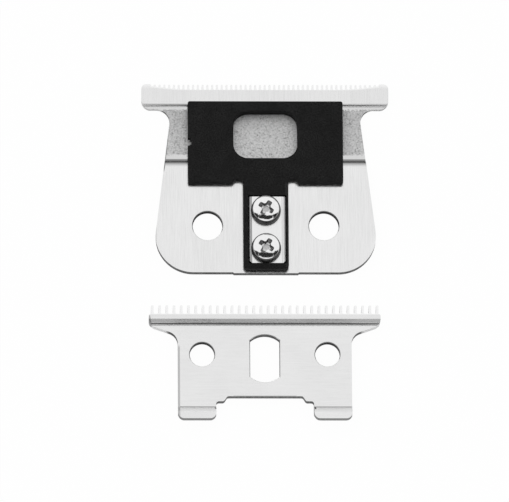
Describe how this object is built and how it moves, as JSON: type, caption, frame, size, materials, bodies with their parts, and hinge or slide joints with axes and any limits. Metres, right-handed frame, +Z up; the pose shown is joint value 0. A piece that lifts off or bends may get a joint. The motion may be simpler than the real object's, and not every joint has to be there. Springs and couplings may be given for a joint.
{
  "type": "hair clipper blade",
  "caption": "T-shaped clipper blade laid out flat: toothed comb with a black guide clamped on it, and the toothed cutter taken off beside it.",
  "frame": {"origin": "midway between the comb's two mounting holes, on its skin side, which is the surface it lies on", "axes": "+X to the right along the teeth, +Y towards the teeth tips, +Z up from the skin side"},
  "size_m": [0.0406, 0.0571, 0.0044],
  "materials": {
    "ground_steel": "surface ground",
    "cutter_steel": "surface ground",
    "plate_steel": "satin",
    "plated_screw": "bright plated",
    "black_guide": "matte moulded"
  },
  "bodies": {
    "root": {"comb_blade": "ground_steel", "cutter_guide": "black_guide", "clamp_plate": "plate_steel", "clamp_screw_front": "plated_screw", "clamp_screw_rear": "plated_screw", "cutter_blade": "cutter_steel"}
  },
  "joints": []
}
